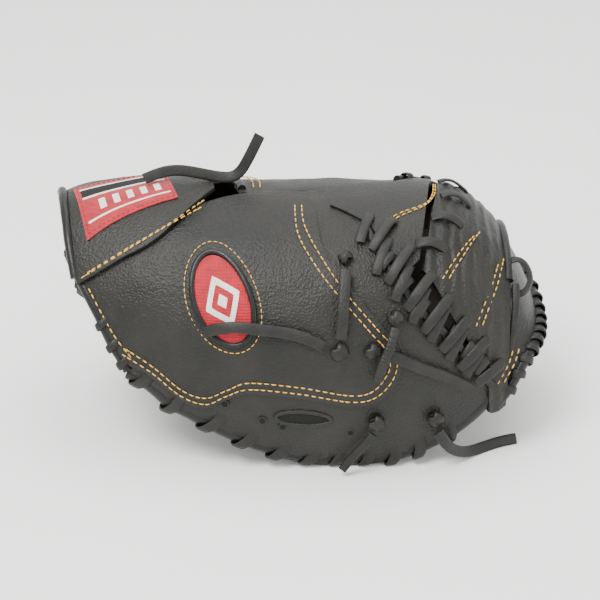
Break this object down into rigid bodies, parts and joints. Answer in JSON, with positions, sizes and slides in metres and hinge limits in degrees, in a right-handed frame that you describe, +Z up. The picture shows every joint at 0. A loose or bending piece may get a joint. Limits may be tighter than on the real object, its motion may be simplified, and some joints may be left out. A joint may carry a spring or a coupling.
{
  "type": "catchers mitt",
  "caption": "Folded leather catchers mitt, palm down: padded thumb and finger halves hinged at the crease, laced web, rolled rims, wrist strap and lace tails",
  "frame": {"origin": "on the floor under the middle of the mitt (bottom centre of its box, lace tails left out)", "axes": "+X from wrist to fingertips, -Y the thumb side, +Z up, the back of the hand"},
  "size_m": [0.2913, 0.1889, 0.18],
  "materials": {
    "leather_shell": "pebbled full-grain steerhide",
    "leather_palm": "smooth oiled steerhide",
    "lining_leather": "soft lining leather",
    "wool_felt": "pressed wool felt",
    "rolled_leather": "rolled glossy edge leather",
    "rawhide_lace": "flat leather lace, suede edges",
    "woven_label": "woven and embroidered patch",
    "fleece": "synthetic shearling"
  },
  "bodies": {
    "finger_side": {"finger_back_panel": "leather_shell", "finger_crotch_piping": "rolled_leather", "finger_felt_pad": "wool_felt", "finger_heel_pad": "wool_felt", "finger_hood": "leather_shell", "finger_lining": "lining_leather", "finger_palm_leather": "leather_palm", "finger_rim_lace": "rawhide_lace", "finger_rim_welting": "rolled_leather", "finger_stall_dividers": "lining_leather", "finger_web_lace": "rawhide_lace", "finger_wrist_binding": "rolled_leather", "hand_opening_binding": "rolled_leather", "little_finger_loop": "lining_leather", "thumb_web_lace": "rawhide_lace", "web_base_panel": "leather_shell", "web_joining_lace": "rawhide_lace", "web_top_binding": "rolled_leather", "web_upper_panel": "leather_shell"},
    "thumb_side": {"bottom_tail": "rawhide_lace", "corrugated_tail": "rawhide_lace", "hanging_lace": "rawhide_lace", "heel_lace": "rawhide_lace", "oval_patch": "woven_label", "oval_patch_ring": "rolled_leather", "patch_lace": "rawhide_lace", "rim_tail": "rawhide_lace", "thumb_back_panel": "leather_shell", "thumb_base_panel": "leather_shell", "thumb_crotch_lace": "rawhide_lace", "thumb_crotch_piping": "rolled_leather", "thumb_felt_pad": "wool_felt", "thumb_heel_pad": "wool_felt", "thumb_lace_knots": "rawhide_lace", "thumb_lining": "lining_leather", "thumb_loop": "lining_leather", "thumb_palm_leather": "leather_palm", "thumb_rim_lace": "rawhide_lace", "thumb_rim_welting": "rolled_leather", "thumb_wrist_binding": "rolled_leather", "wide_lace": "rawhide_lace"},
    "wrist_strap": {"wrist_strap": "leather_shell", "strap_label": "woven_label", "strap_fleece": "fleece", "strap_tail": "rawhide_lace"}
  },
  "joints": [
    {"name": "mitt_fold", "type": "hinge", "parent": "finger_side", "child": "thumb_side", "pos_m": [0, 0, 0.148], "axis": [-1, 0, 0], "range_deg": [-5, 15], "stiffness_Nm_per_rad": 18, "deforming": ["thumb_web_lace"]},
    {"name": "strap_lift", "type": "hinge", "parent": "thumb_side", "child": "wrist_strap", "pos_m": [-0.1, -0.056, 0.1], "axis": [1, 0, 0], "range_deg": [0, 10], "stiffness_Nm_per_rad": 0.4}
  ]
}
